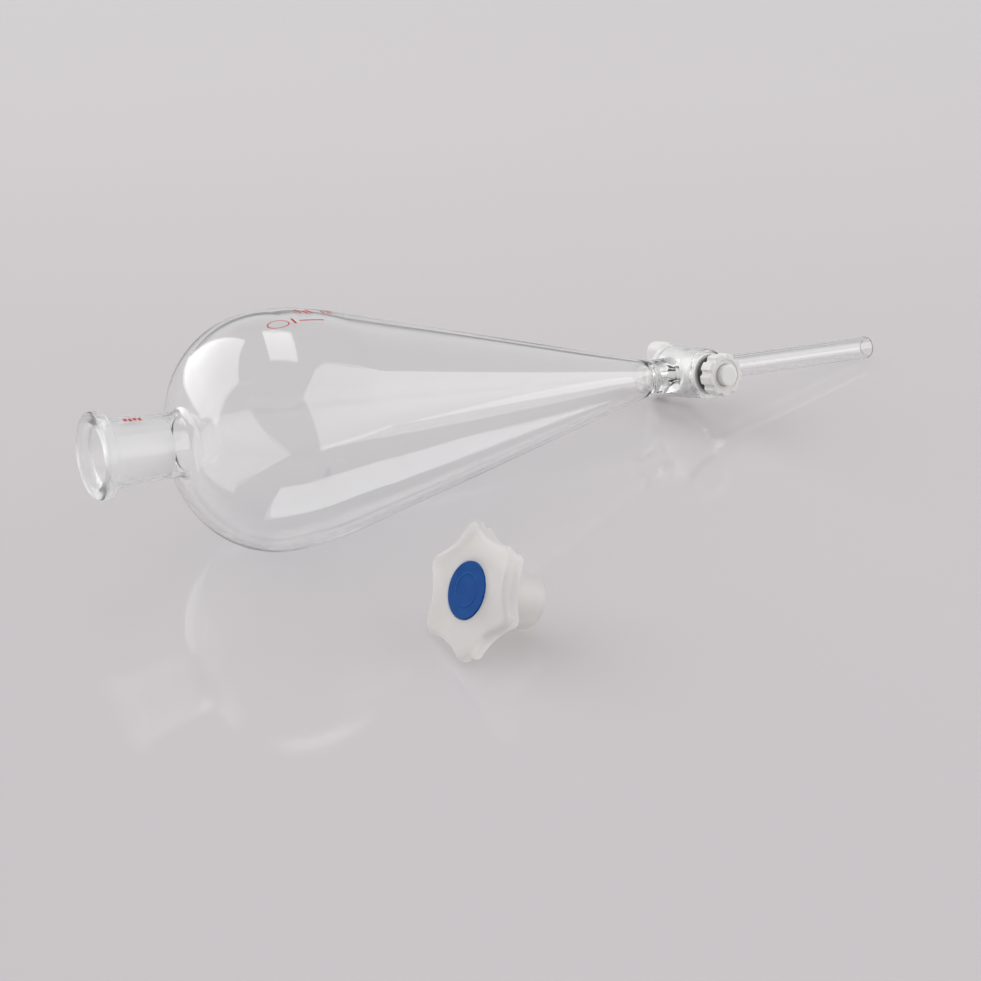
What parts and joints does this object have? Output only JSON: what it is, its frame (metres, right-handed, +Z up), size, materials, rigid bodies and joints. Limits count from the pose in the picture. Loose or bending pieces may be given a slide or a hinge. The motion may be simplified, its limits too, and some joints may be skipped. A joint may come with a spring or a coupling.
{
  "type": "dropping funnel",
  "caption": "Pear-shaped glass dropping funnel with a ground neck, a PTFE stopcock with T-handle and notched nut, a plain stem and a lobed stopper beside it.",
  "frame": {"origin": "middle of the whole set's footprint, on the table it lies on", "axes": "+Z up, +X along the lying funnel from the neck towards the tip of the stem, -Y the side of the nut and the stopper"},
  "size_m": [0.4026, 0.1818, 0.0966],
  "materials": {
    "glass": "clear, fire-polished",
    "ground_glass": "clear outside, ground matt inside the socket",
    "ptfe": "satin, slightly waxy white",
    "nut_ptfe": "satin, with nine rounded notches",
    "o_ring_rubber": "satin black",
    "stopper_plastic": "translucent moulded polyethylene",
    "disc_plastic": "glossy blue"
  },
  "bodies": {
    "glassware": {"neck_socket": "ground_glass", "bulb": "glass", "stopcock_barrel": "glass", "stem": "glass"},
    "plug": {"stopcock_plug": "ptfe"},
    "seals": {"plug_washer": "ptfe", "plug_o_ring": "o_ring_rubber"},
    "nut": {"plug_nut": "nut_ptfe"},
    "loose_stopper": {"stopper": "stopper_plastic", "stopper_disc": "disc_plastic"}
  },
  "joints": [
    {"name": "plug_turn", "type": "hinge", "parent": "glassware", "child": "plug", "pos_m": [0.08868, 0.043, 0.02032], "axis": [0.0397, -0.954, 0.297], "continuous": true},
    {"name": "seal_slide", "type": "slide", "parent": "plug", "child": "seals", "axis": [0.0397, -0.954, 0.297], "range_m": [0, 0.006]},
    {"name": "nut_turn", "type": "hinge", "parent": "seals", "child": "nut", "pos_m": [0.08868, 0.043, 0.02032], "axis": [0.0397, -0.954, 0.297], "range_deg": [0, 1440]},
    {"name": "stopper_lift", "type": "slide", "parent": "glassware", "child": "loose_stopper", "axis": [0, 0, 1], "range_m": [0, 0.12]}
  ],
  "couplings": [
    {"joint": "seal_slide", "follows": "nut_turn", "m_per_rad": 0.0002387}
  ]
}
